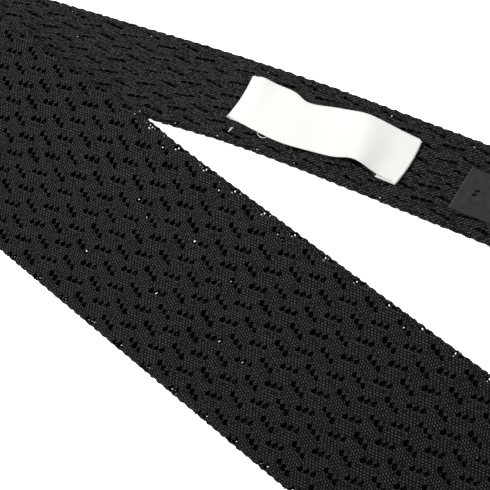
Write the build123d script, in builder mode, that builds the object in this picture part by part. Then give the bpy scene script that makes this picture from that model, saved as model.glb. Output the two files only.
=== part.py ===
"""Openwork knitted necktie, folded once at the neck and laid flat, in millimetres.

+X runs along the tie from the fold to the two ends, +Z is up, and the origin is on the
table under the middle of the whole. The tail lies on the table with its back up and turns
out from under the wide blade. The knit is a flat seamless tube with two layers.
"""

import os
from math import cos, radians, sin

from build123d import *

os.makedirs("parts", exist_ok=True)

# ---- the knitted tube --------------------------------------------------------------------
blade_width = 64.0  # a two and a half inch blade
tail_width = 30.0
tube_thickness = 3.6  # both layers of a flattened tube
layer_thickness = 1.2
layer_gap = 0.7  # air between the blade and the tail beneath it
joint_gap = 0.3  # between two lengths of knit that bend against each other

# ---- lengths along the tie ---------------------------------------------------------------
blade_side_length = 735.0  # from the fold's centre to the blade's tip
blade_neck_length = 175.0
blade_taper_length = 350.0  # from the neck's width to the full width
blade_on_tail_length = 417.0  # where the blade comes down off the tail
blade_middle_length = 158.0
linking_length = 1.6  # the row of loops that closes each end

blade_drop_lead = 13.0  # still level after the last bend line
blade_drop_run = 60.0  # the length over which the blade comes down to the table
blade_drop_radius = 150.0

tail_neck_length = 164.0  # straight under the blade
turn_out = 14.6  # the tail's headings, in degrees from +X
turn_label = 11.0
turn_end = 5.0
turn_out_radius = 400.0
turn_label_radius = 1300.0
turn_end_radius = 600.0
tail_crossing_length = 143.0  # straight, between the first two turns
tail_tag_length = 84.0  # straight, after the label
tail_end_length = 70.0

# ---- what is sewn on and in --------------------------------------------------------------
label_length = 70.0
label_width = 16.5
label_cloth = 0.4
label_fold_under = 8.0
label_along_turn = 0.84  # the label's middle, as a share of the second turn
stitch_width = 0.6
stitch_reach = 1.6  # how far a stitch runs in over what it holds
label_stitch_count = 6
thread_end_length = 3.0
thread_end_inset = 4.0
thread_clear = 0.1

tag_length = 30.0
tag_width = 15.0
tag_thickness = 0.4
tag_aside = 1.8  # off the tail's middle, towards its inner side
tag_start = 43.0  # after the end of the second turn
tag_stitch_spacing = 1.8
tag_stitch_inset = 5.5

tape_width = 12.0
tape_thickness = 0.6
tape_length = 150.0
tape_from_fold = 8.0
tack_length = 1.2
tack_thickness = 0.3

# ---- worked out from those ---------------------------------------------------------------
tail_mid = tube_thickness / 2
blade_mid = tail_mid + tube_thickness + layer_gap
fold_mid = (tail_mid + blade_mid) / 2
fold_radius = (blade_mid - tail_mid) / 2
fold_outer = fold_radius + tube_thickness / 2
fold_x = -(blade_side_length - fold_outer) / 2


def turn_rise(radius, heading, new_heading):
    """How far a turn carries the tail towards +Y."""
    return radius * abs(cos(radians(new_heading)) - cos(radians(heading)))


tail_rise = (
    turn_rise(turn_out_radius, 0, turn_out)
    + tail_crossing_length * sin(radians(turn_out))
    + turn_rise(turn_label_radius, turn_out, turn_label)
    + tail_tag_length * sin(radians(turn_label))
    + turn_rise(turn_end_radius, turn_label, turn_end)
    + tail_end_length * sin(radians(turn_end))
)
tail_edge = tail_rise + tail_width / 2 * cos(radians(turn_end))
blade_y = (blade_width / 2 - tail_edge) / 2  # puts the origin in the middle

tail_neck_end_x = fold_x + tail_neck_length
blade_neck_end_x = fold_x + blade_neck_length
blade_full_x = fold_x + blade_taper_length
blade_drop_x = fold_x + blade_on_tail_length
blade_end_x = blade_drop_x + blade_middle_length
blade_tip_x = fold_x + blade_side_length
half_gap = joint_gap / 2


def blade_width_at(x):
    """The blade's width, which grows evenly from the neck until it is full."""
    share = min(1.0, (x - fold_x) / blade_taper_length)
    return tail_width + (blade_width - tail_width) * share


def across(x, height):
    """A plane square to +X over the blade's middle, whose own X is the tie's width."""
    return Plane(origin=(x, blade_y, height), x_dir=(0, 1, 0), z_dir=(1, 0, 0))


def square_to(path):
    """A plane square to a path's start, whose own X is level."""
    return Plane(origin=path @ 0, x_dir=(path % 0).cross(Vector(0, 0, 1)), z_dir=path % 0)


def tube_section(plane, width):
    """The flattened tube cut across: two layers and the space between them."""
    with BuildSketch(plane) as section:
        SlotOverall(width, tube_thickness)
        SlotOverall(
            width - 2 * layer_thickness, tube_thickness - 2 * layer_thickness, mode=Mode.SUBTRACT
        )
    return section.sketch


def rod_section(plane, width):
    """The tube's outline cut across, solid."""
    with BuildSketch(plane) as section:
        SlotOverall(width, tube_thickness)
    return section.sketch


# ---- the paths that the knit follows, along the middle of the tube -----------------------
with BuildLine(Plane.XZ.offset(-blade_y)) as blade_drop:
    FilletPolyline(
        (blade_drop_x + half_gap, blade_mid),
        (blade_drop_x + blade_drop_lead, blade_mid),
        (blade_drop_x + blade_drop_lead + blade_drop_run, tail_mid),
        (blade_end_x - half_gap, tail_mid),
        radius=blade_drop_radius,
    )

with BuildLine(Plane.XY.offset(tail_mid)) as tail_turns:
    turning_out = JernArc((tail_neck_end_x, blade_y), (1, 0), turn_out_radius, turn_out)
    crossing = Line(
        turning_out @ 1, turning_out @ 1 + (turning_out % 1) * tail_crossing_length
    )
    label_turn = JernArc(crossing @ 1, crossing % 1, turn_label_radius, turn_label - turn_out)
    tag_run = Line(label_turn @ 1, label_turn @ 1 + (label_turn % 1) * tail_tag_length)

with BuildLine(Plane.XY.offset(tail_mid)) as tail_last_turn:
    JernArc(
        tag_run @ 1 + (tag_run % 1) * joint_gap, tag_run % 1, turn_end_radius, turn_end - turn_label
    )

tail_last_start = tail_last_turn.line @ 1 + (tail_last_turn.line % 1) * joint_gap
tail_last_heading = tail_last_turn.line % 1
tail_last_plane = Plane(
    origin=tail_last_start,
    x_dir=tail_last_heading.cross(Vector(0, 0, 1)),
    z_dir=tail_last_heading,
)

# ---- the blade ---------------------------------------------------------------------------
fold_top = Plane(origin=(fold_x, blade_y, blade_mid), x_dir=(0, 1, 0), z_dir=(-1, 0, 0))
fold_bottom = Plane(origin=(fold_x, blade_y, tail_mid), x_dir=(0, 1, 0), z_dir=(-1, 0, 0))
fold_axis_up = Axis((fold_x, blade_y, fold_mid), (0, -1, 0))
fold_axis_down = Axis((fold_x, blade_y, fold_mid), (0, 1, 0))

def tapered_tube(start_x, end_x, start_width, end_width):
    """The flattened tube along a stretch of the blade where it grows wider."""
    with BuildPart() as tube:
        for wall, mode in ((0, Mode.ADD), (layer_thickness, Mode.SUBTRACT)):
            with BuildSketch(across(start_x, blade_mid)):
                SlotOverall(start_width - 2 * wall, tube_thickness - 2 * wall)
            with BuildSketch(across(end_x, blade_mid)):
                SlotOverall(end_width - 2 * wall, tube_thickness - 2 * wall)
            loft(ruled=True, mode=mode)
    return tube.part


neck_end_width = blade_width_at(blade_neck_end_x)

with BuildPart() as blade_neck_knit:
    add(tapered_tube(fold_x, blade_neck_end_x - half_gap, tail_width, neck_end_width))
    revolve(tube_section(fold_top, tail_width), axis=fold_axis_up, revolution_arc=90)
    split(bisect_by=Plane.XY.offset(fold_mid + half_gap), keep=Keep.TOP)

with BuildPart() as blade_upper_knit:
    add(tapered_tube(blade_neck_end_x + half_gap, blade_full_x, neck_end_width, blade_width))
    extrude(
        tube_section(across(blade_full_x, blade_mid), blade_width),
        amount=blade_drop_x - half_gap - blade_full_x,
    )

with BuildPart() as blade_middle_knit:
    sweep(
        sections=tube_section(across(blade_drop_x + half_gap, blade_mid), blade_width),
        path=blade_drop.line,
    )

blade_end_start = across(blade_end_x + half_gap, tail_mid)
with BuildPart() as blade_end_knit:
    extrude(
        tube_section(blade_end_start, blade_width),
        amount=blade_tip_x - linking_length - blade_end_x - half_gap,
    )

with BuildPart() as blade_end_linking:
    extrude(
        rod_section(across(blade_tip_x - linking_length, tail_mid), blade_width),
        amount=linking_length,
    )

# ---- the tail ----------------------------------------------------------------------------
with BuildPart() as tail_neck_knit:
    extrude(tube_section(across(fold_x, tail_mid), tail_width), amount=tail_neck_length)
    revolve(tube_section(fold_bottom, tail_width), axis=fold_axis_down, revolution_arc=90)
    split(bisect_by=Plane.XY.offset(fold_mid - half_gap), keep=Keep.BOTTOM)

with BuildPart() as tail_upper_knit:
    sweep(
        sections=tube_section(across(tail_neck_end_x, tail_mid), tail_width), path=tail_turns.line
    )

with BuildPart() as tail_middle_knit:
    sweep(
        sections=tube_section(square_to(tail_last_turn.line), tail_width),
        path=tail_last_turn.line,
    )

with BuildPart() as tail_end_knit:
    extrude(
        tube_section(tail_last_plane, tail_width), amount=tail_end_length - linking_length
    )

with BuildPart() as tail_end_linking:
    extrude(
        rod_section(tail_last_plane.offset(tail_end_length - linking_length), tail_width),
        amount=linking_length,
    )

# ---- the tape inside the neck, which keeps the knit from stretching ----------------------
tape_drop = 0.2  # the tape lies below the middle, which leaves room for its tacks
tape_centre = fold_x + tape_from_fold + tape_length / 2
tack_centre = fold_x + tape_from_fold + tape_length - tack_length


def lay_tape(height):
    """One half of the tape, inside the tube."""
    with BuildPart(Plane((tape_centre, blade_y, height - tape_drop))) as tape:
        Box(tape_length, tape_width, tape_thickness)
    return tape.part


def lay_tack(height):
    """The bar of thread that holds the tape's far end."""
    tack_height = height - tape_drop + (tape_thickness + tack_thickness) / 2
    with BuildPart(Plane((tack_centre, blade_y, tack_height))) as tack:
        Box(tack_length, tape_width, tack_thickness)
    return tack.part


with BuildPart() as neck_stay_tape_blade_side:
    add(lay_tape(blade_mid))

with BuildPart() as neck_stay_tape_tail_side:
    add(lay_tape(tail_mid))

with BuildPart() as stay_tape_tack_blade_side:
    add(lay_tack(blade_mid))

with BuildPart() as stay_tape_tack_tail_side:
    add(lay_tack(tail_mid))

# ---- the label, folded under at both ends and sewn to the tail's back --------------------
label_centre = label_turn @ label_along_turn
label_heading = label_turn % label_along_turn
label_plane = Plane(
    origin=(label_centre.X, label_centre.Y, tube_thickness), x_dir=label_heading, z_dir=(0, 0, 1)
)
label_side = Plane(
    origin=label_plane.origin, x_dir=label_heading, z_dir=label_heading.cross(Vector(0, 0, 1))
)
label_thickness = 2 * label_cloth

with BuildPart() as brand_label:
    with BuildSketch(label_side):
        with Locations((0, label_thickness / 2)):
            RectangleRounded(label_length, label_thickness, label_cloth * 0.9)
        with Locations((0, label_cloth / 2)):
            Rectangle(label_length - 2 * label_fold_under, label_cloth, mode=Mode.SUBTRACT)
    extrude(amount=label_width / 2, both=True)


def stitch_profile(side_plane, edge, over, height, direction):
    """A stitch from the top of what it holds, over its edge and down to the knit."""
    with BuildSketch(side_plane) as profile:
        with BuildLine():
            Polyline(
                (edge - direction * over, height),
                (edge - direction * over, height + stitch_width / 2),
                (edge + direction * stitch_width, height + stitch_width / 2),
                (edge + direction * stitch_width, 0),
                (edge, 0),
                (edge, height),
                close=True,
            )
        make_face()
    return profile.sketch


label_stitch_pitch = (label_width - 2 * stitch_width) / (label_stitch_count - 1)
with BuildPart() as brand_label_end_stitches:
    for direction in (-1, 1):
        for number in range(label_stitch_count):
            place = (number - (label_stitch_count - 1) / 2) * label_stitch_pitch
            profile = stitch_profile(
                label_side.offset(place), direction * label_length / 2, stitch_reach,
                label_thickness, direction,
            )
            extrude(profile, amount=stitch_width / 2, both=True)

with BuildPart(label_plane) as brand_label_thread_end:
    thread_y = -label_width / 2 - thread_clear
    thread_z = stitch_width / 2 + thread_clear
    with Locations((thread_end_inset - label_length / 2, thread_y, thread_z)):
        Cylinder(
            stitch_width / 2, thread_end_length, rotation=(90, 0, 0),
            align=(Align.CENTER, Align.CENTER, Align.MIN),
        )

# ---- the care tag, further along the tail's back -----------------------------------------
tag_middle = tag_run @ ((tag_start + tag_length / 2) / tail_tag_length)
tag_centre = tag_middle + (tag_run % 0).cross(Vector(0, 0, 1)) * tag_aside
tag_plane = Plane(
    origin=(tag_centre.X, tag_centre.Y, tube_thickness), x_dir=tag_run % 0, z_dir=(0, 0, 1)
)

with BuildPart() as care_tag:
    with BuildSketch(tag_plane):
        Rectangle(tag_length, tag_width)
    extrude(amount=tag_thickness)

with BuildPart() as care_tag_stitches:
    with BuildSketch(tag_plane.offset(tag_thickness)):
        with Locations((-tag_length / 2 + tag_stitch_inset, 0)):
            with GridLocations(0, tag_stitch_spacing, 1, 2):
                SlotOverall(stitch_reach, stitch_width)
    extrude(amount=stitch_width / 2)

# ---- write every piece -------------------------------------------------------------------
blade_neck_knit.part.label = "blade_neck_knit"
blade_upper_knit.part.label = "blade_upper_knit"
blade_middle_knit.part.label = "blade_middle_knit"
blade_end_knit.part.label = "blade_end_knit"
blade_end_linking.part.label = "blade_end_linking"
tail_neck_knit.part.label = "tail_neck_knit"
tail_upper_knit.part.label = "tail_upper_knit"
tail_middle_knit.part.label = "tail_middle_knit"
tail_end_knit.part.label = "tail_end_knit"
tail_end_linking.part.label = "tail_end_linking"
neck_stay_tape_blade_side.part.label = "neck_stay_tape_blade_side"
neck_stay_tape_tail_side.part.label = "neck_stay_tape_tail_side"
stay_tape_tack_blade_side.part.label = "stay_tape_tack_blade_side"
stay_tape_tack_tail_side.part.label = "stay_tape_tack_tail_side"
brand_label.part.label = "brand_label"
brand_label_end_stitches.part.label = "brand_label_end_stitches"
brand_label_thread_end.part.label = "brand_label_thread_end"
care_tag.part.label = "care_tag"
care_tag_stitches.part.label = "care_tag_stitches"

export_step(blade_neck_knit.part, "parts/blade_neck_knit.step")
export_step(blade_upper_knit.part, "parts/blade_upper_knit.step")
export_step(blade_middle_knit.part, "parts/blade_middle_knit.step")
export_step(blade_end_knit.part, "parts/blade_end_knit.step")
export_step(blade_end_linking.part, "parts/blade_end_linking.step")
export_step(tail_neck_knit.part, "parts/tail_neck_knit.step")
export_step(tail_upper_knit.part, "parts/tail_upper_knit.step")
export_step(tail_middle_knit.part, "parts/tail_middle_knit.step")
export_step(tail_end_knit.part, "parts/tail_end_knit.step")
export_step(tail_end_linking.part, "parts/tail_end_linking.step")
export_step(neck_stay_tape_blade_side.part, "parts/neck_stay_tape_blade_side.step")
export_step(neck_stay_tape_tail_side.part, "parts/neck_stay_tape_tail_side.step")
export_step(stay_tape_tack_blade_side.part, "parts/stay_tape_tack_blade_side.step")
export_step(stay_tape_tack_tail_side.part, "parts/stay_tape_tack_tail_side.step")
export_step(brand_label.part, "parts/brand_label.step")
export_step(brand_label_end_stitches.part, "parts/brand_label_end_stitches.step")
export_step(brand_label_thread_end.part, "parts/brand_label_thread_end.step")
export_step(care_tag.part, "parts/care_tag.step")
export_step(care_tag_stitches.part, "parts/care_tag_stitches.step")

# ---- the layout, for the joints ----------------------------------------------------------
print("fold hinge", fold_x - fold_outer - half_gap, blade_y, fold_mid)
print("blade bends", blade_neck_end_x, blade_drop_x, blade_end_x, "blade_y", blade_y)
print("tail bends", tag_run @ 1, tag_run % 1, tail_last_turn.line @ 1, tail_last_heading)
print("label", label_plane.origin, label_heading, "tag", tag_plane.origin, tag_run % 0)
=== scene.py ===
"""Openwork knitted necktie, folded once at the neck and laid on a table.

Lengths in this script are millimetres in the part's own frame until a mesh is made.
The tie is one path, from the tail's tip through the fold to the blade's tip, and every
stitch has a row number along it and a column number across it.
"""

import math

import bpy
import numpy as np
from mathutils import Matrix, Vector


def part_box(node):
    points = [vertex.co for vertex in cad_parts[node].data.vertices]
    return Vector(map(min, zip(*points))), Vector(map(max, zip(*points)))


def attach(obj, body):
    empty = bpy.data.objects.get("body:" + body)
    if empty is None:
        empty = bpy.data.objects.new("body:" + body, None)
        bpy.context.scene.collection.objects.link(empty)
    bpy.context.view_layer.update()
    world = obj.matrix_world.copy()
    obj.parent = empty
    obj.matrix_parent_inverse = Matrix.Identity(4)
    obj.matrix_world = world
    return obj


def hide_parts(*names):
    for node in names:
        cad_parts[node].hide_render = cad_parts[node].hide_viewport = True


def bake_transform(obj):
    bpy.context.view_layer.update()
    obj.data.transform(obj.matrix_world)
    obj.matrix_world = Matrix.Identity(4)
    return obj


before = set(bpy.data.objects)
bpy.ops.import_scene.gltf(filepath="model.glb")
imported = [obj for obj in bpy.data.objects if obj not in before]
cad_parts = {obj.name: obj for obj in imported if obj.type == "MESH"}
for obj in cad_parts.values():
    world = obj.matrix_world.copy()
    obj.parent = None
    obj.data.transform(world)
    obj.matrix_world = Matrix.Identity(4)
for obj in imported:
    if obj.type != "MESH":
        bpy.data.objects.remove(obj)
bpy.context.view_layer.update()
MM = 0.001


def node_box(node):
    """A CAD node's lowest and highest corners, in millimetres."""
    return [np.array(corner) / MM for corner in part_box(node)]


neck_low, neck_high = node_box("blade_neck_knit")
tail_low, tail_high = node_box("tail_neck_knit")
tip_low, tip_high = node_box("blade_end_linking")
blade_y = (tip_low[1] + tip_high[1]) / 2
blade_width = tip_high[1] - tip_low[1]
tail_width = tail_high[1] - tail_low[1]
tube_thickness = tip_high[2] - tip_low[2]
stack_height = neck_high[2]
tail_mid = tube_thickness / 2
blade_mid = stack_height - tail_mid
fold_mid = stack_height / 2
fold_radius = fold_mid - tail_mid
fold_x = neck_low[0] + stack_height / 2
blade_side_length = tip_high[0] - fold_x
taper_length = 350.0

linking_length = tip_high[0] - tip_low[0]
half_turn = math.pi / 2 * fold_radius
tail_turns = (  # length and the heading at its end, in degrees
    (164.0, 0.0),
    (400.0 * math.radians(14.6), 14.6),
    (143.0, 14.6),
    (1300.0 * math.radians(3.6), 11.0),
    (84.0, 11.0),
    (600.0 * math.radians(6.0), 5.0),
    (70.0, 5.0),
)
tail_stations = np.cumsum([0.0] + [length for length, _ in tail_turns])
tail_headings = np.radians([0.0] + [heading for _, heading in tail_turns])
tail_length = tail_stations[-1]

walk = np.linspace(0.0, tail_length, 3001)
walk_heading = np.interp(walk, tail_stations, tail_headings)
step = walk[1] - walk[0]
walk_x = fold_x + np.cumsum(np.cos(walk_heading)) * step - step
walk_y = blade_y + np.cumsum(np.sin(walk_heading)) * step

blade_tip = blade_side_length + half_turn
tail_tip = -(tail_length + half_turn)


def path_frame(place):
    """The tube's middle, its sideways direction and the direction its front faces."""
    place = np.asarray(place, float)
    along = place - half_turn
    tail_along = np.clip(-place - half_turn, 0.0, tail_length)
    turn = np.clip((half_turn - place) / (2 * half_turn), 0.0, 1.0) * math.pi
    heading = np.interp(tail_along, walk, walk_heading)
    on_blade = place > half_turn
    on_tail = place < -half_turn
    middle = np.empty(place.shape + (3,))
    middle[..., 0] = np.where(on_blade, fold_x + along, fold_x - fold_radius * np.sin(turn))
    middle[..., 0] = np.where(on_tail, np.interp(tail_along, walk, walk_x), middle[..., 0])
    middle[..., 1] = np.where(on_tail, np.interp(tail_along, walk, walk_y), blade_y)
    middle[..., 2] = fold_mid + fold_radius * np.cos(turn)
    sideways = np.zeros_like(middle)
    sideways[..., 0] = np.where(on_tail, -np.sin(heading), 0.0)
    sideways[..., 1] = np.where(on_tail, np.cos(heading), 1.0)
    facing = np.zeros_like(middle)
    facing[..., 0] = -np.sin(turn)
    facing[..., 2] = np.cos(turn)
    return middle, sideways, facing


def tie_width(place):
    """The flattened tube's width."""
    share = np.clip((np.asarray(place, float) - half_turn) / taper_length, 0.0, 1.0)
    return tail_width + (blade_width - tail_width) * share


walk_side_x = walk_x + np.sin(walk_heading) * tail_width / 2
walk_side_y = walk_y - np.cos(walk_heading) * tail_width / 2
# where the tail's inner edge comes out from under the blade, along the tail and along the blade
comes_out = np.argmax(walk_side_y > blade_y + tie_width(walk_side_x - fold_x + half_turn) / 2)
crossing_along = walk[comes_out]
crossing_place = walk_side_x[comes_out] - fold_x + half_turn

# ---- the knit's gauge --------------------------------------------------------------------
ROWS_PER_COURSE = 4
COLUMNS_PER_WALE = 3
REPEAT_ROWS = 12 * ROWS_PER_COURSE  # one repeat of the lace along the tie
REPEAT_COLUMNS = 8 * COLUMNS_PER_WALE
BAND_ROWS = REPEAT_ROWS // 2  # the rows of eyelets move over by half a repeat in each band
GHOST_ROWS = 12  # worked out beyond a piece's own rows, so that its neighbour meets it exactly

half_body = 1.52  # from the tube's middle to a layer, before the stitches' relief
full_relief = 0.222  # on the full blade
stretched_relief = 0.79  # how much of that a stitch keeps on the stretched tail
rim_depth = 0.55
end_flattening = 7.0
end_mid = 0.95  # the height of the middle of both linked ends, which lie on the table
chain_inset = 0.64 * linking_length  # from a tip to the middle of its chain of loops
scallop_depth = 0.3

back_spread = 1.2  # the layer beneath is stretched wider, so few eyelets lie over each other
back_drift = 2.6

slit_opening = (3.7, 1.9)  # half an eyelet in rows and columns, on the stretched tail
round_opening = (3.1, 3.9)  # the same on the full blade
under_opening = (1.8, 1.1)  # and on the layer beneath
cut_block = (2, 1)  # half the block of cells that is cut away for it
reach_of_opening = (4.9, 5.9)  # how far round it the cloth is pushed aside
drawn_shut_from = -0.72  # most eyelets beneath are drawn shut: all whose scatter is above this
clear_of_edge = 1.4  # from an eyelet's middle to the side of its layer

edge_gap_zone = (3.6, 1.5)  # the gaps beside an edge lie between these distances from it
under_gap_zone = 2.5
edge_gap_run = 15  # rows of gaps in each repeat on the blade's open edge
edge_gap_phase = 6  # and where in the repeat they lie
few_gaps_from = 0.85

bulge_tail, bulge_tail_run = 1.1, 22.0  # each edge swells where the blade leaves the tail
bulge_blade, bulge_blade_run = 1.15, 18.0

# a stitch, as heights: four rows along it and three columns across, with a pit at its foot
STITCH = np.array([[-1.2, -0.5, -0.4], [-0.7, 0.95, 0.3], [-0.3, 1.1, 1.0], [-0.8, 0.4, 1.0]])


def fullness(place):
    """0 on the stretched neck and tail, 1 on the full blade."""
    return np.clip((np.asarray(place, float) - half_turn) / taper_length, 0.0, 1.0)


def repeat_length(place):
    """The length of one repeat of the lace: more where the cloth is stretched."""
    return 17.0 + (14.4 - 17.0) * fullness(place)


def repeat_width(place):
    """The width of one repeat: less where the cloth is stretched."""
    return 4.95 + (6.95 - 4.95) * fullness(place)


def relief(place):
    """How far a stitch of height 1 stands up."""
    kept = stretched_relief + (1.0 - stretched_relief) * fullness(place)
    return full_relief * kept * repeat_width(place) / repeat_width(blade_tip)


def body(place):
    """Half the tube's thickness without relief: less towards the linked ends."""
    place = np.asarray(place, float)
    from_end = np.minimum(blade_tip - place, place - tail_tip) - linking_length
    share = np.clip(from_end / end_flattening, 0.0, 1.0)
    return half_body * (0.42 + 0.58 * np.sin(share * math.pi / 2))


def zigzag(rows, place):
    """How far the wales stand to one side, which swings to and fro once a repeat."""
    phase = (rows / REPEAT_ROWS) % 1.0
    swing = 1.0 - 4.0 * np.abs(phase - 0.5)
    swing = np.sin(swing * math.pi / 2 * 0.92) / math.sin(math.pi / 2 * 0.92) * 0.35 + swing * 0.65
    return (0.5 + 0.3 * fullness(place)) * swing


places = [blade_tip]
while places[-1] > tail_tip:
    places.append(places[-1] - repeat_length(places[-1]) / REPEAT_ROWS)
last_row = (len(places) - 1) // BAND_ROWS * BAND_ROWS
row_places = np.array(places[: last_row + 1])
knit_from = blade_tip - linking_length
knit_to = tail_tip + linking_length
row_places = knit_from + (row_places - blade_tip) * (knit_from - knit_to) / (blade_tip - row_places[-1])


def place_of(rows):
    """The place along the tie of a row."""
    return np.interp(rows, np.arange(last_row + 1), row_places)


# ---- the fall of the blade over the tail --------------------------------------------------
def resting_height(x, y):
    """How high the blade is held above the table: on the tail, and sloping off beside it."""
    tail_y = np.interp(x, walk_x, walk_y)
    heading = np.interp(x, walk_x, walk_heading)
    beside = np.abs(y - tail_y) * np.cos(heading) - tail_width / 2
    share = np.clip((beside - 1.0) / 34.0, 0.0, 1.0)
    return (blade_mid - tail_mid) * (1.0 - share * share * (3.0 - 2.0 * share))


# ---- meshes ------------------------------------------------------------------------------
def add_mesh(name, corners, quads, triangles=None, heights=None, normals=None):
    """A smooth-shaded mesh from arrays, given in millimetres."""
    faces = [quads.ravel()]
    sizes = [np.full(len(quads), 4)]
    if triangles is not None and len(triangles):
        faces.append(triangles.ravel())
        sizes.append(np.full(len(triangles), 3))
    loops = np.concatenate(faces).astype(np.int32)
    counts = np.concatenate(sizes)
    used, inverse = np.unique(loops, return_inverse=True)
    mesh = bpy.data.meshes.new(name)
    mesh.vertices.add(len(used))
    mesh.vertices.foreach_set("co", (corners[used] * MM).astype(np.float32).ravel())
    mesh.loops.add(len(loops))
    mesh.loops.foreach_set("vertex_index", inverse.astype(np.int32))
    mesh.polygons.add(len(counts))
    mesh.polygons.foreach_set("loop_start", (np.cumsum(counts) - counts).astype(np.int32))
    mesh.update(calc_edges=True)
    if heights is not None:
        attribute = mesh.attributes.new("stitch_height", "FLOAT", "POINT")
        attribute.data.foreach_set("value", heights[used].astype(np.float32))
    mesh.shade_smooth()
    if normals is not None:
        mesh.normals_split_custom_set_from_vertices(normals[used].astype(np.float32))
    piece = bpy.data.objects.new(name, mesh)
    bpy.context.scene.collection.objects.link(piece)
    return piece


def scatter(i, j, seed):
    """A fixed scatter of numbers between -1 and 1, one for each pair of whole numbers."""
    value = np.sin(i * 12.9898 + j * 78.233 + seed * 37.719) * 43758.5453
    return (value - np.floor(value)) * 2.0 - 1.0


def upper_share(place, front):
    """1 where a layer is the one that faces up, 0 where it faces the table, eased round the fold."""
    share = np.clip(0.5 + np.asarray(place, float) / 120.0, 0.0, 1.0)
    share = share * share * (3.0 - 2.0 * share)
    return share if front else 1.0 - share


def open_holes(rows_at, columns_at, row_grid, column_grid, opening, block, spread):
    """Push the corners round each hole outwards, from a cut block of cells to its own round opening."""
    far_rows, far_columns = int(spread[0]), int(spread[1])
    for di in range(-far_rows, far_rows + 1):
        for dj in range(-far_columns, far_columns + 1):
            away = math.hypot(di, dj)
            if away == 0:
                continue
            cos_a, sin_a = di / away, dj / away
            outer = 1 / math.hypot(cos_a / spread[0], sin_a / spread[1])
            if away >= outer:
                continue
            round_edge = 1 / np.hypot(cos_a / opening[0], sin_a / opening[1])
            cut_edge = min(block[0] / max(abs(cos_a), 1e-9), block[1] / max(abs(sin_a), 1e-9))
            share = max(0.0, (away - cut_edge) / (outer - cut_edge))
            moved = round_edge + (outer - round_edge) * share
            i, j = rows_at + di, columns_at + dj
            inside = (i >= 0) & (i < row_grid.shape[0]) & (j >= 0) & (j < row_grid.shape[1])
            row_grid[i[inside], j[inside]] += cos_a * (moved[inside] - away)
            column_grid[i[inside], j[inside]] += sin_a * (moved[inside] - away)


def stitch_heights(rows, columns, stretched):
    """How high each corner of the grid stands: beads, with a proud wale beside each eyelet row.

    Where the cloth is stretched its beads differ more and each row of eyelets lies in a groove.
    """
    wale = columns // COLUMNS_PER_WALE
    staggered = rows[:, None] + (wale % 2 * (ROWS_PER_COURSE // 2))[None, :]
    height = STITCH[staggered % ROWS_PER_COURSE, (columns % COLUMNS_PER_WALE)[None, :]]
    stitch = staggered // ROWS_PER_COURSE * 57.31 + wale[None, :] * 91.7
    height = height * (1.0 + (0.35 + 0.25 * stretched) * np.sin(stitch * stitch % 6.283))
    first_half = ((rows % REPEAT_ROWS) < BAND_ROWS)[:, None]
    from_eyelets = np.where(first_half, columns[None, :], -(columns[None, :] - REPEAT_COLUMNS // 2))
    from_eyelets = (from_eyelets + 12) % REPEAT_COLUMNS - 12
    proud = np.exp(-(((from_eyelets - 4.0) / 1.2) ** 2))
    crevice = np.exp(-(((from_eyelets - 7.0) / 1.0) ** 2))
    every_other = (((rows // ROWS_PER_COURSE) % 2) == 1)[:, None]
    along_eyelets = ((rows % BAND_ROWS) > 1)[:, None]
    groove = np.exp(-((from_eyelets / 1.7) ** 2)) * along_eyelets * stretched
    # besides the relief, these heights set the knit's colour: painted shade where they are low, painted
    # highlight where they are high
    return height + 0.35 * proud - crevice * 0.4 * every_other - 0.9 * groove


def vertex_normals(corners, faces):
    """Area-weighted normals at the corners of a mesh of four-sided faces."""
    one = corners[faces[:, 2]] - corners[faces[:, 0]]
    other = corners[faces[:, 3]] - corners[faces[:, 1]]
    across = np.cross(one, other)
    total = np.zeros_like(corners)
    for n in range(4):
        for axis in range(3):
            total[:, axis] += np.bincount(faces[:, n], across[:, axis], len(corners))
    length = np.linalg.norm(total, axis=1, keepdims=True)
    return np.where(length > 1e-12, total / np.maximum(length, 1e-12), [0.0, 0.0, 1.0])


# the corners round an eyelet's cut cells, in order
RING = [(-2, -1), (-1, -1), (0, -1), (1, -1), (2, -1), (2, 0),
        (2, 1), (1, 1), (0, 1), (-1, 1), (-2, 1), (-2, 0)]


def eyelet_places(rows, place, reach, column_width, drift, under):
    """The row and column of each eyelet's middle: three rows of them in each band."""
    eyelets = []
    for at in range(2, len(rows) - 2):
        row = rows[at]
        if (row % BAND_ROWS) / ROWS_PER_COURSE not in (1.0, 3.0, 5.0):
            continue
        side_shift = zigzag(row, place[at]) + drift[at]
        shift = 0 if (row % REPEAT_ROWS) < BAND_ROWS else REPEAT_COLUMNS // 2
        for column in range(shift - 40 * REPEAT_COLUMNS, 40 * REPEAT_COLUMNS, REPEAT_COLUMNS):
            drawn_shut = under[at] > 0.5 and scatter(row, column, 1) > drawn_shut_from
            within = abs(column * column_width[at] + side_shift) < reach[at] - clear_of_edge
            if within and not drawn_shut:
                eyelets.append((row, column))
    return np.array(eyelets)


def eyelet_openings(eyelets, own_full, own_under):
    """Half of each eyelet in rows and columns: a slit on the stretched tail, and uneven there."""
    uneven = (0.12 + 0.18 * (1.0 - own_full)) * scatter(eyelets[:, 0], eyelets[:, 1], 5)
    size = 1.0 - 0.10 * (1.0 - own_full) + uneven
    return [
        size * np.where(own_under < 0.5, slit + (full_open - slit) * own_full, beneath)
        for slit, full_open, beneath in zip(slit_opening, round_opening, under_opening)
    ]


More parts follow.
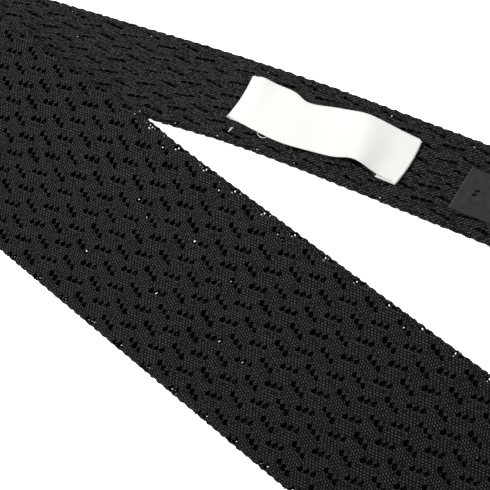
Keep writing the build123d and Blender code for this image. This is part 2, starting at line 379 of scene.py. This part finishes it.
def edge_gaps(rows, columns, from_side, positive_side, full, under):
    """The cells to leave out beside the edges, where the cloth is stretched open and light shows."""
    zone = (from_side < edge_gap_zone[0]) & (from_side > edge_gap_zone[1])
    few = (full > 0.0) & (scatter(rows // ROWS_PER_COURSE, 1, 4) > few_gaps_from)
    in_run = (full > 0.3) & ((rows + edge_gap_phase) % REPEAT_ROWS < edge_gap_run)
    beneath = (under > 0.5)[:, None] & (from_side < under_gap_zone)
    zone &= ((few | in_run)[:, None] & positive_side) | beneath
    foot = ((rows % ROWS_PER_COURSE) < 2)[:, None] & ((columns % COLUMNS_PER_WALE) == 0)[None, :]
    return (zone & foot)[:-1, :-1]


def round_tube(place, side, half_width, height):
    """Sideways and outwards from the tube's middle: flat, then a half circle at its side."""
    thick = body(place)
    flat = half_width - thick
    past = np.clip(np.abs(side) - flat, 0.0, None) / thick
    out_side = np.sign(side) * (np.minimum(np.abs(side), flat) + thick * np.sin(past))
    out_up = thick * np.cos(past)
    stand = relief(place) * height
    out_side += np.sign(side) * np.sin(past) * stand
    out_up += np.cos(past) * stand
    return out_side, out_up


def bulged(place, out_side):
    """Where the blade leaves the tail, the edge of each swells a little towards the other."""
    past_crossing = -half_turn - crossing_along - 15.0 - place
    tail_bulge = bulge_tail * np.exp(-((past_crossing / bulge_tail_run) ** 2))
    out_side = out_side - tail_bulge * np.clip(-out_side / (tail_width / 2), 0.0, 1.0) ** 2
    past_crossing = place - crossing_place - 8.0
    blade_bulge = bulge_blade * np.exp(-((past_crossing / bulge_blade_run) ** 2))
    return out_side + blade_bulge * np.clip(out_side / (tail_width / 2), 0.0, 1.0) ** 2


def lay_out(place, out_side, out_up):
    """The corners along the path, where the blade slopes off the tail, and the way they face."""
    middle, sideways, facing = path_frame(place)
    corners = middle + sideways * out_side[..., None] + facing * out_up[..., None]
    sag = resting_height(corners[..., 0], corners[..., 1]) - (blade_mid - tail_mid)
    near_fold = np.clip((place - half_turn) / 20.0, 0.0, 1.0)
    corners[..., 2] += np.where(place > half_turn, sag * near_fold, 0.0)
    corners[..., 2] -= half_body - body(place)
    return corners, facing


def corner_numbers(beyond, side):
    """Each corner's number: in a row, one corner stands for all those past the tube's side."""
    number = np.arange(beyond.size).reshape(beyond.shape)
    at = np.arange(beyond.shape[1])[None, :]
    for away_side in (-1, 1):
        past_side = beyond & (np.sign(side) == away_side)
        if away_side < 0:
            edge = np.where(past_side, at, -1).max(axis=1)
        else:
            edge = np.where(past_side, at, beyond.shape[1]).min(axis=1)
        edge = np.clip(edge, 0, beyond.shape[1] - 1)
        edge_number = number[np.arange(beyond.shape[0]), edge]
        number = np.where(past_side, edge_number[:, None], number)
    return number


def quads_and_triangles(cells):
    """Cells with four sides, and those that have lost one side as triangles."""
    same = [cells[:, n] == cells[:, (n + 1) % 4] for n in range(4)]
    lost = np.sum(same, axis=0)
    triangles = [
        cells[same[n] & (lost == 1)][:, [m for m in range(4) if m != n]] for n in range(4)
    ]
    return cells[lost == 0], np.concatenate(triangles)


def eyelet_rims(ring, corners, into_tube, front):
    """The eyelets' rims, turned down into the tube: their faces, new corners and normals."""
    ring_corners = corners[ring]
    centre = ring_corners.mean(axis=1, keepdims=True)
    low_corners = ring_corners + (centre - ring_corners) * 0.02 + into_tube[ring] * rim_depth
    low = len(corners) + np.arange(ring.size).reshape(ring.shape)
    rims = np.stack([ring, np.roll(ring, -1, 1), np.roll(low, -1, 1), low], axis=-1).reshape(-1, 4)
    if not front:
        rims = rims[:, ::-1]
    inward = centre - low_corners
    inward /= np.linalg.norm(inward, axis=2, keepdims=True)
    return rims, low_corners.reshape(-1, 3), inward.reshape(-1, 3)


def knit_layer(name, own_first_row, own_end_row, front):
    """One layer of the knit between two rows, with open eyelets and every stitch standing up.

    Sideways measures run round the tube from the middle of the layer to the tube's side,
    where the two layers meet row by row.
    """
    first_row = max(0, own_first_row - GHOST_ROWS)
    end_row = min(last_row, own_end_row + GHOST_ROWS)
    rows = np.arange(first_row, end_row + 1)
    place = place_of(rows)
    full = fullness(place)
    beat = rows / (3 * ROWS_PER_COURSE) + 0.22 * np.sin(rows / 61.0) + 0.13 * np.sin(rows / 17.0)
    scallop = scallop_depth * (0.5 + 0.5 * np.sin(2 * math.pi * beat))
    half_width = tie_width(place) / 2 + 0.12 + 0.2 * (1.0 - full) - scallop
    thick = body(place)
    reach = half_width - thick + math.pi / 2 * thick
    under = 1.0 - upper_share(place, front)
    drift, stretch = back_drift * under, 1.0 + (back_spread - 1.0) * under
    column_width = repeat_width(place) / REPEAT_COLUMNS * stretch
    last_column = int(np.ceil((reach.max() + drift.max() + 2.0) / column_width.min())) + 1
    columns = np.arange(-last_column, last_column + 1)
    row_grid, column_grid = np.meshgrid(rows.astype(float), columns.astype(float), indexing="ij")

    # the eyelets: cells cut out of the grid, and the corners round them pushed aside
    eyelets = eyelet_places(rows, place, reach, column_width, drift, under)
    eyelet_i = eyelets[:, 0] - first_row
    eyelet_j = eyelets[:, 1] + last_column
    gone = np.zeros((len(rows) - 1, len(columns) - 1), bool)
    for di in range(-cut_block[0], cut_block[0]):
        for dj in range(-cut_block[1], cut_block[1]):
            gone[eyelet_i + di, eyelet_j + dj] = True
    opening = eyelet_openings(eyelets, full[eyelet_i], under[eyelet_i])
    open_holes(eyelet_i, eyelet_j, row_grid, column_grid, opening, cut_block, reach_of_opening)

    # every corner's place along the tie, its place round the tube and its height
    height = stitch_heights(rows, columns, 1.0 - full[:, None])
    looseness = (0.05 + 0.08 * (1.0 - full))[:, None]
    grid_place = place_of(row_grid) + 1.5 * looseness * scatter(rows[:, None], columns[None, :], 2)
    grid_width = repeat_width(grid_place) / REPEAT_COLUMNS * stretch[:, None]
    wander = 0.12 * np.sin(grid_place / 9.0 + column_grid / 31.0)
    side = column_grid * grid_width + zigzag(row_grid, grid_place) + drift[:, None] + wander
    side += looseness * scatter(rows[:, None], columns[None, :], 3)
    reach_grid = np.interp(row_grid, rows, reach)
    beyond = np.abs(side) >= reach_grid
    grid_place = np.where(beyond, place[:, None], grid_place)
    side = np.where(beyond, np.sign(side) * reach[:, None], side)
    half_grid = np.where(beyond, half_width[:, None], np.interp(row_grid, rows, half_width))
    edge_bump = 0.5 - 0.5 * np.cos(rows / ROWS_PER_COURSE * 2 * math.pi)
    # at the tube's side these values shape the bumps and also colour them: painted highlight on each
    # bump, painted shade between
    height = np.where(beyond, 0.75 * edge_bump[:, None], height)
    gone |= edge_gaps(rows, columns, reach_grid - np.abs(side), side > 0, full, under)

    sign = 1.0 if front else -1.0
    out_side, out_up = round_tube(grid_place, side, half_grid, height)
    corners, facing = lay_out(grid_place, bulged(grid_place, out_side), sign * out_up)
    corners = corners.reshape(-1, 3)

    number = corner_numbers(beyond, side)
    cell = np.stack(
        [number[:-1, :-1], number[1:, :-1], number[1:, 1:], number[:-1, 1:]], axis=-1
    )
    if front:
        cell = cell[..., ::-1]
    all_past = beyond[:-1, :-1] & beyond[1:, :-1] & beyond[1:, 1:] & beyond[:-1, 1:]
    normals = vertex_normals(corners, cell[~all_past])
    own = np.zeros(cell.shape[:2], bool)
    own[own_first_row - first_row: own_end_row - first_row] = True
    quads, triangles = quads_and_triangles(cell[~gone & ~all_past & own])

    owned = (eyelets[:, 0] > own_first_row) & (eyelets[:, 0] < own_end_row)
    ring_i = eyelet_i[owned][:, None] + np.array([di for di, _ in RING])
    ring_j = eyelet_j[owned][:, None] + np.array([dj for _, dj in RING])
    ring = ring_i * len(columns) + ring_j
    rims, low_corners, inward = eyelet_rims(ring, corners, -facing.reshape(-1, 3) * sign, front)
    # the rims get the lowest value, so the knit's colour paints them darkest: painted shade down inside
    # each eyelet
    heights = np.concatenate([height.ravel(), np.full(ring.size, -0.6)])
    return add_mesh(
        name, np.concatenate([corners, low_corners]), np.concatenate([quads, rims]), triangles,
        heights, np.concatenate([normals, inward]),
    )


def end_linking(name, place):
    """The chain of loops that closes an end: a thin rope of beads across the tie."""
    width = float(tie_width(place)) - 1.2
    loop_length, thickness = 0.95, 0.62
    middle, sideways, _ = (v[0] for v in path_frame(np.array([place])))
    middle[2] = end_mid
    ahead = np.cross(sideways, [0.0, 0.0, 1.0])
    loops = int(width / loop_length)
    around, steps = 12, loops * 6
    t = np.linspace(0.0, 1.0, steps + 1)
    phase = t * loops * 2 * math.pi
    angle = np.arange(around) / around * 2 * math.pi
    end_round = np.sqrt(np.clip(1.0 - ((t - 0.5) * 2) ** 40, 0.02, 1.0))
    thick = thickness * end_round[:, None] * (
        0.82 + 0.18 * np.cos(phase[:, None] + 1.2 * np.sin(angle)[None, :])
    )
    ahead_by = thick * np.cos(angle)[None, :] * 1.2
    up_by = thick * np.sin(angle)[None, :] * 1.15
    across = (t - 0.5)[:, None] * width + 0.25 * np.sin(phase[:, None] + angle[None, :])
    corners = (
        middle + sideways * across[..., None] + ahead * ahead_by[..., None]
        + np.array([0.0, 0.0, 1.0]) * up_by[..., None]
    )
    number = np.arange(corners.shape[0] * around).reshape(-1, around)
    beside = np.roll(number, -1, axis=1)
    quads = np.stack([number[:-1], number[1:], beside[1:], beside[:-1]], axis=-1).reshape(-1, 4)
    caps = np.array([[number[row][0], number[row][n], number[row][n + 1]]
                     for row in (0, -1) for n in range(1, around - 1)])
    caps[around - 2:] = caps[around - 2:, ::-1]
    # through the knit's colour: painted highlight on each loop and painted shade between the loops
    heights = np.repeat(0.5 + 0.5 * np.cos(phase), around)
    return add_mesh(name, corners.reshape(-1, 3), quads, caps, heights)


def cloth_shell(name, grid, thickness, heights=None):
    """A closed thin piece of cloth on both sides of a grid of points."""
    along = np.gradient(grid, axis=0)
    across = np.gradient(grid, axis=1)
    normal = np.cross(along, across)
    normal /= np.linalg.norm(normal, axis=2, keepdims=True)
    corners = np.concatenate([grid + normal * thickness / 2, grid - normal * thickness / 2])
    count, wide = grid.shape[:2]
    number = np.arange(2 * count * wide).reshape(2 * count, wide)
    top, under = number[:count], number[count:]

    def strip(a, b):
        return np.stack([a[:-1], b[:-1], b[1:], a[1:]], axis=-1).reshape(-1, 4)

    sheets = [
        np.stack([side[:-1, :-1], side[1:, :-1], side[1:, 1:], side[:-1, 1:]], axis=-1).reshape(-1, 4)
        for side in (top, under)
    ]
    quads = np.concatenate([
        sheets[0], sheets[1][:, ::-1],
        strip(top[:, 0], under[:, 0]), strip(under[:, -1], top[:, -1]),
        strip(under[0], top[0]), strip(top[-1], under[-1]),
    ])
    if heights is not None:
        heights = np.concatenate([heights, heights]).ravel()
    return add_mesh(name, corners.reshape(-1, 3), quads, heights=heights)


def thread(name, paths, thickness):
    """Threads along the given paths, each a round tube with closed ends."""
    around = 8
    angle = np.arange(around) / around * 2 * math.pi
    corners, quads, caps = [], [], []
    base = 0
    for path in paths:
        path = np.asarray(path, float)
        ahead = np.gradient(path, axis=0)
        ahead /= np.linalg.norm(ahead, axis=1, keepdims=True)
        beside = np.cross(ahead, [0.13, 0.21, 0.97])
        beside /= np.linalg.norm(beside, axis=1, keepdims=True)
        over = np.cross(beside, ahead)
        ring = beside[:, None] * np.cos(angle)[:, None] + over[:, None] * np.sin(angle)[:, None]
        corners.append((path[:, None] + ring * thickness / 2).reshape(-1, 3))
        number = base + np.arange(len(path) * around).reshape(-1, around)
        after = np.roll(number, -1, axis=1)
        quads.append(np.stack([number[:-1], number[1:], after[1:], after[:-1]], axis=-1).reshape(-1, 4))
        caps += [[number[0, 0], number[0, n], number[0, n + 1]] for n in range(1, around - 1)]
        caps += [[number[-1, 0], number[-1, n + 1], number[-1, n]] for n in range(1, around - 1)]
        base += len(path) * around
    return add_mesh(name, np.concatenate(corners), np.concatenate(quads), np.array(caps))


# ---- materials ---------------------------------------------------------------------------
def new_material(name, **values):
    material = bpy.data.materials.new(name)
    material.use_nodes = True
    shader = material.node_tree.nodes["Principled BSDF"]
    for socket, value in values.items():
        shader.inputs[socket.replace("_", " ")].default_value = value
    return material, material.node_tree, shader


def black_knit():
    """Fine black yarn: painted shade between the stitches and a painted highlight on their tops, with a
    faint fibre along it.
    """
    material, tree, shader = new_material(
        "black_knit", Roughness=0.65, Specular_IOR_Level=0.06
    )
    add = tree.nodes.new
    stitch = add("ShaderNodeAttribute")
    stitch.attribute_name = "stitch_height"
    where = add("ShaderNodeTexCoord")
    mottle = add("ShaderNodeTexNoise")
    mottle.inputs["Scale"].default_value = 900.0
    mottle.inputs["Detail"].default_value = 3.0
    tree.links.new(where.outputs["Object"], mottle.inputs["Vector"])
    mixed = add("ShaderNodeMath")
    mixed.operation = "MULTIPLY_ADD"
    mixed.use_clamp = False
    mixed.inputs[1].default_value = 0.6
    tree.links.new(mottle.outputs["Fac"], mixed.inputs[0])
    tree.links.new(stitch.outputs["Fac"], mixed.inputs[2])
    # dark where the stitch height is low and light where it is high: painted shade in pits and
    # crevices, painted highlight on the stitches' tops
    ramp = add("ShaderNodeValToRGB")
    ramp.color_ramp.elements[0].position = 0.35
    ramp.color_ramp.elements[0].color = (0.0010, 0.0009, 0.0010, 1)
    ramp.color_ramp.elements[1].position = 1.0
    ramp.color_ramp.elements[1].color = (0.0460, 0.0413, 0.0450, 1)
    ramp.color_ramp.elements.new(0.75).color = (0.0136, 0.0121, 0.0132, 1)
    tree.links.new(mixed.outputs[0], ramp.inputs["Fac"])
    tree.links.new(ramp.outputs["Color"], shader.inputs["Base Color"])
    fibre = add("ShaderNodeTexNoise")
    fibre.inputs["Scale"].default_value = 5200.0
    fibre.inputs["Detail"].default_value = 2.0
    tree.links.new(where.outputs["Object"], fibre.inputs["Vector"])
    bump = add("ShaderNodeBump")
    bump.inputs["Strength"].default_value = 0.5
    bump.inputs["Distance"].default_value = 0.00006
    tree.links.new(fibre.outputs["Fac"], bump.inputs["Height"])
    tree.links.new(bump.outputs["Normal"], shader.inputs["Normal"])
    return material


def woven(name, colour, lighter, turn, thread_pitch, strength, **values):
    """A close weave: ribs along and across the cloth, and threads that differ a little in shade."""
    material, tree, shader = new_material(name, **values)
    add = tree.nodes.new
    where = add("ShaderNodeTexCoord")
    lie = add("ShaderNodeMapping")
    lie.inputs["Rotation"].default_value = (0.0, 0.0, -turn)
    tree.links.new(where.outputs["Object"], lie.inputs["Vector"])
    ribs = []
    for direction in ("X", "Y"):
        rib = add("ShaderNodeTexWave")
        rib.bands_direction = direction
        rib.inputs["Scale"].default_value = 0.314 / (thread_pitch * MM)
        rib.inputs["Distortion"].default_value = 0.6
        rib.inputs["Detail"].default_value = 1.0
        tree.links.new(lie.outputs["Vector"], rib.inputs["Vector"])
        ribs.append(rib)
    both = add("ShaderNodeMath")
    both.operation = "ADD"
    tree.links.new(ribs[0].outputs["Fac"], both.inputs[0])
    tree.links.new(ribs[1].outputs["Fac"], both.inputs[1])
    bump = add("ShaderNodeBump")
    bump.inputs["Strength"].default_value = strength
    bump.inputs["Distance"].default_value = 0.00005
    tree.links.new(both.outputs[0], bump.inputs["Height"])
    tree.links.new(bump.outputs["Normal"], shader.inputs["Normal"])
    shade = add("ShaderNodeTexNoise")
    shade.inputs["Scale"].default_value = 420.0
    shade.inputs["Detail"].default_value = 4.0
    tree.links.new(lie.outputs["Vector"], shade.inputs["Vector"])
    edge = add("ShaderNodeAttribute")
    edge.attribute_name = "stitch_height"
    mixed = add("ShaderNodeMath")
    mixed.operation = "MULTIPLY_ADD"
    mixed.inputs[1].default_value = 0.4
    tree.links.new(shade.outputs["Fac"], mixed.inputs[0])
    tree.links.new(edge.outputs["Fac"], mixed.inputs[2])
    ramp = add("ShaderNodeValToRGB")
    ramp.color_ramp.elements[0].position = 0.1
    ramp.color_ramp.elements[0].color = (*colour, 1)
    ramp.color_ramp.elements[1].position = 1.2
    ramp.color_ramp.elements[1].color = (*lighter, 1)
    tree.links.new(mixed.outputs[0], ramp.inputs["Fac"])
    tree.links.new(ramp.outputs["Color"], shader.inputs["Base Color"])
    return material


knit_material = black_knit()


def finish_piece(piece, material, body_name, nodes):
    """Gives a piece its material, the body that it rides and the CAD nodes it replaces."""
    piece.data.materials.append(material)
    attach(piece, body_name)
    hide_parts(*nodes)


# ---- the knit in lengths: those with no joint ride a body, the rest stay where they lie ---
blade_bend_run, tail_bend_run = 34.0, 21.0
bend_before = 3.0  # a bend's span is worked out from this far before its joint
fold_blend_half = 0.33  # half the span worked out across the fold, which lies inside the gap between the folded layers


def row_near(place):
    """The first row of a band, near a place: lengths are cut between bands."""
    row = np.searchsorted(-row_places, -place)
    return int(round(row / BAND_ROWS)) * BAND_ROWS


# each length's name, the place where it ends, and its joint with that joint's place
knit_lengths = (
    ("blade_end", 610.0, None, None),
    ("blade_end_middle", 490.0, "blade_bend_end", 575.0),
    ("blade_middle_upper", 370.0, "blade_bend_middle", 417.0),
    ("blade_upper", 250.0, None, None),
    ("blade_upper_neck", 90.0, "blade_bend_upper", 175.0),
    ("fold", -100.0, "neck_fold", 0.0),
    ("tail_neck", -290.0, None, None),
    ("tail_label", -480.0, None, None),
    ("tail_upper_middle", -607.0, "tail_bend_middle", -tail_stations[5]),
    ("tail_middle_end", None, "tail_bend_end", -tail_stations[6]),
)
riding = {
    "blade_end": "blade_end", "blade_upper": "blade_upper",
    "tail_neck": "root", "tail_label": "root",
}
stands_for = {
    "blade_end": ["blade_end_knit"], "blade_end_middle": ["blade_middle_knit"],
    "blade_upper": ["blade_upper_knit"], "blade_upper_neck": ["blade_neck_knit"],
    "tail_neck": ["tail_neck_knit"], "tail_label": ["tail_upper_knit"],
    "tail_upper_middle": ["tail_middle_knit"], "tail_middle_end": ["tail_end_knit"],
}
row = 0
for name, cut, joint_name, joint_place in knit_lengths:
    end_row = last_row if cut is None else row_near(cut + math.copysign(half_turn, cut))
    for front in (True, False):
        piece = knit_layer(f"{name}_knit_{'front' if front else 'back'}", row, end_row, front)
        piece.data.materials.append(knit_material)
        if joint_name is None:
            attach(piece, riding[name])
        else:
            if joint_name == "neck_fold":
                # for the fold, the span is taken through its height
                start = (fold_x, blade_y, fold_mid - fold_blend_half)
                end = (fold_x, blade_y, fold_mid + fold_blend_half)
            else:
                sign = math.copysign(1.0, joint_place)
                bend_from = joint_place - sign * bend_before
                bend_to = bend_from + sign * (blade_bend_run if sign > 0 else tail_bend_run)
                start, end = path_frame(np.array([bend_from, bend_to]) + sign * half_turn)[0]
            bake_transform(piece)
    if name in stands_for:
        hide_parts(*stands_for[name])
    row = end_row

blade_linking = end_linking("blade_end_chain", blade_tip - chain_inset)
finish_piece(blade_linking, knit_material, "blade_end", ["blade_end_linking"])
tail_linking = end_linking("tail_end_chain", tail_tip + chain_inset)
finish_piece(tail_linking, knit_material, "tail_end", ["tail_end_linking"])

# ---- the label ---------------------------------------------------------------------------
label_along_bend = 0.84  # the label's middle, as a share of the tail's second bend
label_askew = 0.013  # radians from the tail's own heading
label_along = tail_stations[3] + label_along_bend * (tail_stations[4] - tail_stations[3])
label_middle = path_frame(np.array([-label_along - half_turn]))[0][0]
label_turn = float(np.interp(label_along, walk, walk_heading)) - label_askew
label_ahead = np.array([math.cos(label_turn), math.sin(label_turn), 0.0])
label_across = np.array([-math.sin(label_turn), math.cos(label_turn), 0.0])
label_length, label_width, label_fold = 70.0, 16.5, 8.0
label_floor = tube_thickness + 0.22  # just above the stitches beneath


def label_sheet():
    """A satin ribbon, folded under at both ends, that has worked loose and stands up between."""
    fold = 0.32  # the radius of the fold at each end
    under_steps, turn_steps = 24, 9
    each_end = under_steps + turn_steps
    u = [
        -label_length / 2 + 0.2 + label_fold - n * label_fold / under_steps
        for n in range(under_steps)
    ]
    w = [0.0] * under_steps
    for n in range(turn_steps):
        turn = math.pi * n / (turn_steps - 1)
        u.append(-label_length / 2 + fold - fold * math.sin(turn))
        w.append(fold - fold * math.cos(turn))
    top = np.linspace(-label_length / 2 + fold, label_length / 2 - fold, 160)[1:-1]
    u = np.array(u + list(top))
    w = np.array(w + [2 * fold] * len(top))
    u = np.concatenate([u, -u[:each_end][::-1]])
    w = np.concatenate([w, w[:each_end][::-1]])
    v = np.linspace(-label_width / 2, label_width / 2, 34)
    u_grid, v_grid = np.meshgrid(u, v, indexing="ij")
    share = (u_grid / label_length + 0.5)
    is_top = np.zeros_like(u_grid)
    is_top[each_end:-each_end] = 1.0
    top = v_grid / label_width + 0.5  # 0 along the label's lower edge and 1 along its upper edge
    crest_at = 0.78 - 0.06 * top
    crest_run = np.where(share < crest_at, 0.110 + 0.035 * top, 0.092 + 0.065 * top)
    crest = np.exp(-(((share - crest_at) / crest_run) ** 2))
    dip_at = 0.33 + 0.03 * top
    dip_run = np.where(share < dip_at, 0.247 - 0.175 * top, 0.198 - 0.072 * top)
    dip = np.exp(-(((share - dip_at) / dip_run) ** 2))
    bump = np.exp(-(((share - 0.08) / 0.05) ** 2))
    free = is_top * np.clip((0.5 - np.abs(share - 0.5)) / 0.06, 0.0, 1.0)
    lift = (3.7 - 0.7 * top) * crest + 1.4 * top * bump + 0.05 * np.sin(u_grid / 2.3 + v_grid / 5.0)
    up = label_floor + w[:, None] + free * lift
    aside = free * ((1.0 - 0.47 * top) * crest - (1.85 + 0.15 * top) * dip)
    across = v_grid + aside - (1.0 - is_top) * 0.45
    along = u_grid + label_bow(v_grid)
    grid = label_middle * [1, 1, 0] + label_ahead * along[..., None] + label_across * across[..., None]
    grid[..., 2] = up
    return cloth_shell("label", grid, 0.22, np.zeros_like(u_grid))


def label_bow(v):
    """How far the weave bows along the label in the middle of its width."""
    return 0.8 * np.clip(1.0 - (v / label_width * 2) ** 2, 0.0, 1.0)


def on_label(u, v, z):
    """A point by its place along and across the label, and its height."""
    point = label_middle * [1, 1, 0] + label_ahead * (u + label_bow(v)) + label_across * v
    return [point[0], point[1], z]


label_material = woven(
    "label_satin", (0.58, 0.571, 0.552), (0.63, 0.62, 0.60), label_turn, 0.16, 0.35,
    Roughness=0.38, Specular_IOR_Level=0.4, Sheen_Weight=0.15,
)
label = label_sheet()
finish_piece(label, label_material, "root", ["brand_label"])

white_material = woven(
    "white_thread_twist", (0.74, 0.72, 0.68), (0.92, 0.91, 0.88), label_turn + 0.6, 0.12, 0.8,
    Roughness=0.6,
)
stitches = []
for end in (-1, 1):
    for n in range(6):
        v = (n / 5 - 0.5) * (label_width - 1.4)
        edge = end * label_length / 2
        arc = np.linspace(-0.25, 1.15, 12) * math.pi
        stitches.append([
            on_label(edge - end * (0.25 + 0.3 * math.cos(t)), v + 0.18 * t / math.pi,
                     label_floor + 0.15 + 0.36 * math.sin(t))
            for t in arc
        ])
# a loop of the same thread hangs slack below the label
slack_loop_path = [
    on_label(-label_length / 2 + 16.0 - 2.0 * math.cos(t), -label_width / 2 - 1.3 - 1.1 * math.sin(t),
             label_floor + 0.05)
    for t in np.linspace(0.0, math.pi, 24)
]
label_stitches = thread("label_end_stitches", stitches + [slack_loop_path], 0.24)
finish_piece(label_stitches, white_material, "root", ["brand_label_end_stitches"])

thread_end_path = [
    on_label(-label_length / 2 + 4.5 - 0.13 * beside, -label_width / 2 - beside,
             label_floor + 0.18 - 0.9 * math.exp((2.9 - beside) / 0.15))
    for beside in np.linspace(2.9, 4.9, 40)
]
thread_end = thread("label_thread_end", [thread_end_path], 0.46)
finish_piece(thread_end, white_material, "root", ["brand_label_thread_end"])

# ---- the care tag ------------------------------------------------------------------------
tag_start = 43.0  # from the end of the tail's second bend
tag_length, tag_width, tag_aside = 30.0, 15.0, 1.8
tag_stitch_inset, tag_stitch_aside = 5.5, 0.75
tag_along = tail_stations[4] + tag_start
tag_middle, tag_side, _ = (v[0] for v in path_frame(np.array([-tag_along - half_turn])))
tag_turn = float(tail_headings[4])
tag_ahead = np.array([math.cos(tag_turn), math.sin(tag_turn), 0.0])


def tag_point(u, v, z):
    """A point by its place along and across the tag, and its height."""
    point = tag_middle * [1, 1, 0] + tag_ahead * u + tag_side * (v - tag_aside)
    return [point[0], point[1], z]


def tag_sheet():
    """A cut length of grey ribbon: flat, a little lifted at its cut ends, which are paler."""
    u = [0.0, 0.18, 0.35, *np.linspace(0.6, tag_length - 0.6, 90), tag_length - 0.3, tag_length]
    v = np.linspace(-tag_width / 2, tag_width / 2, 48)
    u_grid, v_grid = np.meshgrid(u, v, indexing="ij")
    from_end = np.minimum(u_grid, tag_length - u_grid)
    lift = 0.45 * np.exp(-from_end / 2.2)
    lift += 0.10 * np.sin(u_grid / 3.1 + v_grid / 2.7) + 0.08 * np.cos(v_grid / 3.3)
    lift -= 0.25 * np.exp(-(((u_grid - tag_stitch_inset) / 1.2) ** 2) - ((v_grid / 1.6) ** 2))
    across = v_grid - tag_aside
    grid = tag_middle * [1, 1, 0] + tag_ahead * u_grid[..., None] + tag_side * across[..., None]
    grid[..., 2] = label_floor + 0.15 + lift
    sealed = np.clip(1.0 - from_end / 0.25, 0.0, 1.0)
    return cloth_shell("care_tag_ribbon", grid, 0.2, sealed)


tag_material = woven(
    "tag_satin", (0.0105, 0.0100, 0.0108), (0.076, 0.071, 0.067), tag_turn, 0.14, 0.5,
    Roughness=0.55, Specular_IOR_Level=0.16,
)
tag = tag_sheet()
finish_piece(tag, tag_material, "root", ["care_tag"])

tag_stitch_paths = [
    [
        tag_point(tag_stitch_inset + 0.9 * (t - 0.5) + aside * 0.2, aside + 0.5 * (t - 0.5),
                  label_floor + 0.2 + 0.22 * math.sin(t * math.pi))
        for t in np.linspace(-0.15, 1.15, 12)
    ]
    for aside in (-tag_stitch_aside, tag_stitch_aside)
]
black_material = woven(
    "black_thread_twist", (0.004, 0.004, 0.0045), (0.02, 0.02, 0.021), tag_turn + 0.6, 0.12, 0.8,
    Roughness=0.8, Specular_IOR_Level=0.04,
)
tag_stitches = thread("care_tag_stitch_pair", tag_stitch_paths, 0.75)
finish_piece(tag_stitches, black_material, "root", ["care_tag_stitches"])

# ---- the tape inside the neck ------------------------------------------------------------
tape_material = woven(
    "stay_tape_twill", (0.008, 0.008, 0.009), (0.03, 0.03, 0.032), 0.7, 0.5, 0.8, Roughness=0.7,
)
for side_name, body_name in (("blade_side", "blade_neck"), ("tail_side", "root")):
    low, high = node_box(f"neck_stay_tape_{side_name}")
    tack_low, tack_high = node_box(f"stay_tape_tack_{side_name}")
    u = np.linspace(low[0], high[0], 151)
    v = np.linspace(low[1], high[1], 25)
    u_grid, v_grid = np.meshgrid(u, v, indexing="ij")
    selvedge = np.exp(-(np.minimum(v_grid - low[1], high[1] - v_grid) / 0.5))
    grid = np.stack([u_grid, v_grid, np.full_like(u_grid, (low[2] + high[2]) / 2)], axis=-1)
    grid[..., 2] += 0.06 * np.sin(u_grid / 7.0) * np.cos(v_grid / 4.0) + 0.03 * selvedge
    tape = cloth_shell(f"stay_tape_{side_name}", grid, 0.4, np.zeros_like(u_grid))
    finish_piece(tape, tape_material, body_name, [f"neck_stay_tape_{side_name}"])
    tacks = []
    for n in range(8):
        y = tack_low[1] + 0.8 + n * (tack_high[1] - tack_low[1] - 1.6) / 7
        tacks.append([
            [tack_low[0] + t * (tack_high[0] - tack_low[0]), y + 0.5 * (t - 0.5),
             tack_low[2] + 0.05 + 0.16 * math.sin(t * math.pi)]
            for t in np.linspace(0.0, 1.0, 8)
        ])
    tack = thread(f"tape_tack_{side_name}", tacks, 0.3)
    finish_piece(tack, black_material, body_name, [f"stay_tape_tack_{side_name}"])

# ---- floor, light and camera -------------------------------------------------------------
floor_mesh = bpy.data.meshes.new("floor")
floor_mesh.from_pydata([(-20, -20, 0), (20, -20, 0), (20, 20, 0), (-20, 20, 0)], [], [(0, 1, 2, 3)])
floor = bpy.data.objects.new("floor", floor_mesh)
bpy.context.scene.collection.objects.link(floor)
floor.location.z = -0.0002
floor_material, _, _ = new_material(
    "floor", Base_Color=(0.9, 0.9, 0.9, 1), Roughness=0.9,
    Emission_Color=(1, 1, 1, 1), Emission_Strength=1.0,
)
floor_mesh.materials.append(floor_material)

world = bpy.data.worlds.new("studio")
bpy.context.scene.world = world
world.use_nodes = True
world.node_tree.nodes["Background"].inputs["Color"].default_value = (1, 1, 1, 1)
world.node_tree.nodes["Background"].inputs["Strength"].default_value = 0.8


def add_area(name, place, aim, size, power, spread):
    light = bpy.data.lights.new(name, "AREA")
    light.size = size
    light.energy = power
    light.spread = math.radians(spread)
    holder = bpy.data.objects.new(name, light)
    holder.location = place
    holder.rotation_euler = (Vector(aim) - Vector(place)).to_track_quat("-Z", "Y").to_euler()
    bpy.context.scene.collection.objects.link(holder)


# the key light is narrow, so the nearer end of the blade is dimmer
add_area("key", (-0.45, -0.20, 1.0), (0.045, 0.03, 0.0), 0.35, 0.41, 20.0)

ELEVATION, AZIMUTH, ROLL = math.radians(52.84), math.radians(-10.29), math.radians(40.3)
DISTANCE = 0.70
view_target = Vector(((fold_x + 476.26) * MM, (blade_y + 19.19) * MM, 0.002))
toward = Vector((math.cos(AZIMUTH) * math.cos(ELEVATION), math.sin(AZIMUTH) * math.cos(ELEVATION),
                 math.sin(ELEVATION)))
level = Vector((-math.sin(AZIMUTH), math.cos(AZIMUTH), 0.0))
upright = toward.cross(level)
camera_data = bpy.data.cameras.new("camera")
camera_data.lens = 161.1
camera_data.sensor_width = 36.0
camera_data.clip_start = 0.01
camera = bpy.data.objects.new("camera", camera_data)
right = level * math.cos(ROLL) - upright * math.sin(ROLL)
up = level * math.sin(ROLL) + upright * math.cos(ROLL)
camera.matrix_world = Matrix.Translation(view_target + toward * DISTANCE) @ Matrix(
    (right, up, toward)
).transposed().to_4x4()
bpy.context.scene.collection.objects.link(camera)
bpy.context.scene.camera = camera
bpy.context.scene.view_settings.view_transform = "Standard"
